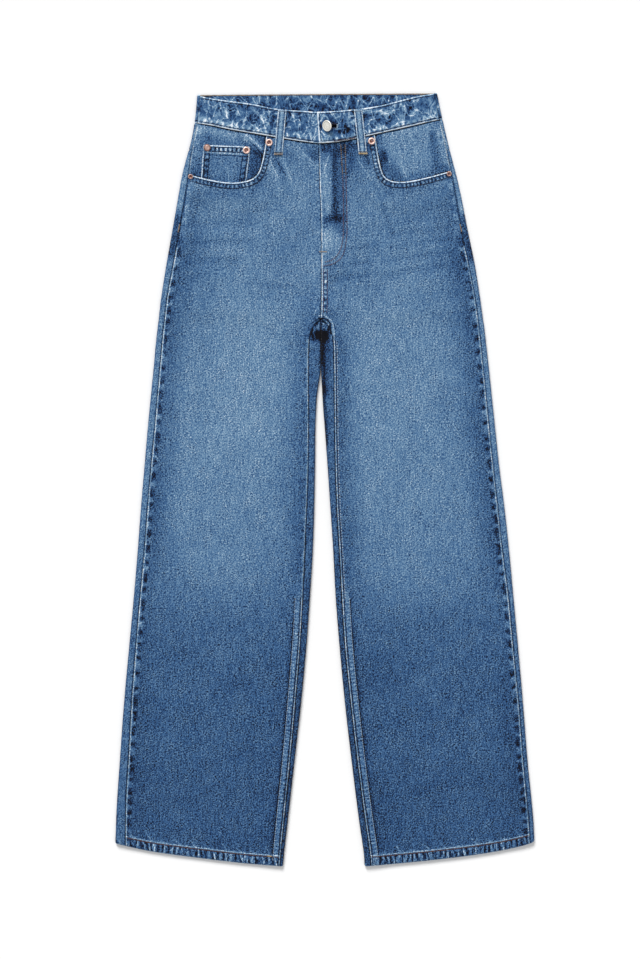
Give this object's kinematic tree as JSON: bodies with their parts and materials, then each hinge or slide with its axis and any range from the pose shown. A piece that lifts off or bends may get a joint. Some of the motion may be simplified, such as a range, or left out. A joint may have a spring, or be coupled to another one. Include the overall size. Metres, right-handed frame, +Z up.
{
  "type": "wide leg jeans",
  "caption": "Wide leg five-pocket jeans in washed blue denim, laid flat face up, with a dipped front waist, fly, button, belt loops and copper rivets.",
  "frame": {"origin": "on the surface the jeans lie on, in the middle of their width and length", "axes": "+X to the right of the garment as seen from above (the wearer's left), +Y from the hems to the waist, +Z up from the surface"},
  "size_m": [0.598, 1.1045, 0.0151],
  "materials": {
    "denim_front": "washed indigo twill, faded at thighs, with pale worn seams",
    "denim_back": "washed indigo twill",
    "denim_inside": "dark indigo twill with pale crackle",
    "pale_metal": "satin, warm silver",
    "copper": "satin copper"
  },
  "bodies": {
    "root": {"front_left": "denim_front", "front_right": "denim_front", "waistband_front_left": "denim_front", "waistband_front_right": "denim_front", "pocket_facing_left": "denim_front", "pocket_facing_right": "denim_front", "coin_pocket": "denim_front", "fly_shield": "denim_front", "belt_loop_front_left": "denim_front", "belt_loop_front_right": "denim_front", "back_left": "denim_back", "back_right": "denim_back", "yoke_left": "denim_back", "yoke_right": "denim_back", "back_pocket_left": "denim_back", "back_pocket_right": "denim_back", "belt_loop_back_left": "denim_back", "belt_loop_back_middle": "denim_back", "belt_loop_back_right": "denim_back", "waistband_back": "denim_inside", "button": "pale_metal", "rivet_coin_left": "copper", "rivet_coin_right": "copper", "rivet_left_mouth_top": "copper", "rivet_left_mouth_foot": "copper", "rivet_right_mouth_top": "copper", "rivet_right_mouth_foot": "copper"}
  },
  "joints": []
}
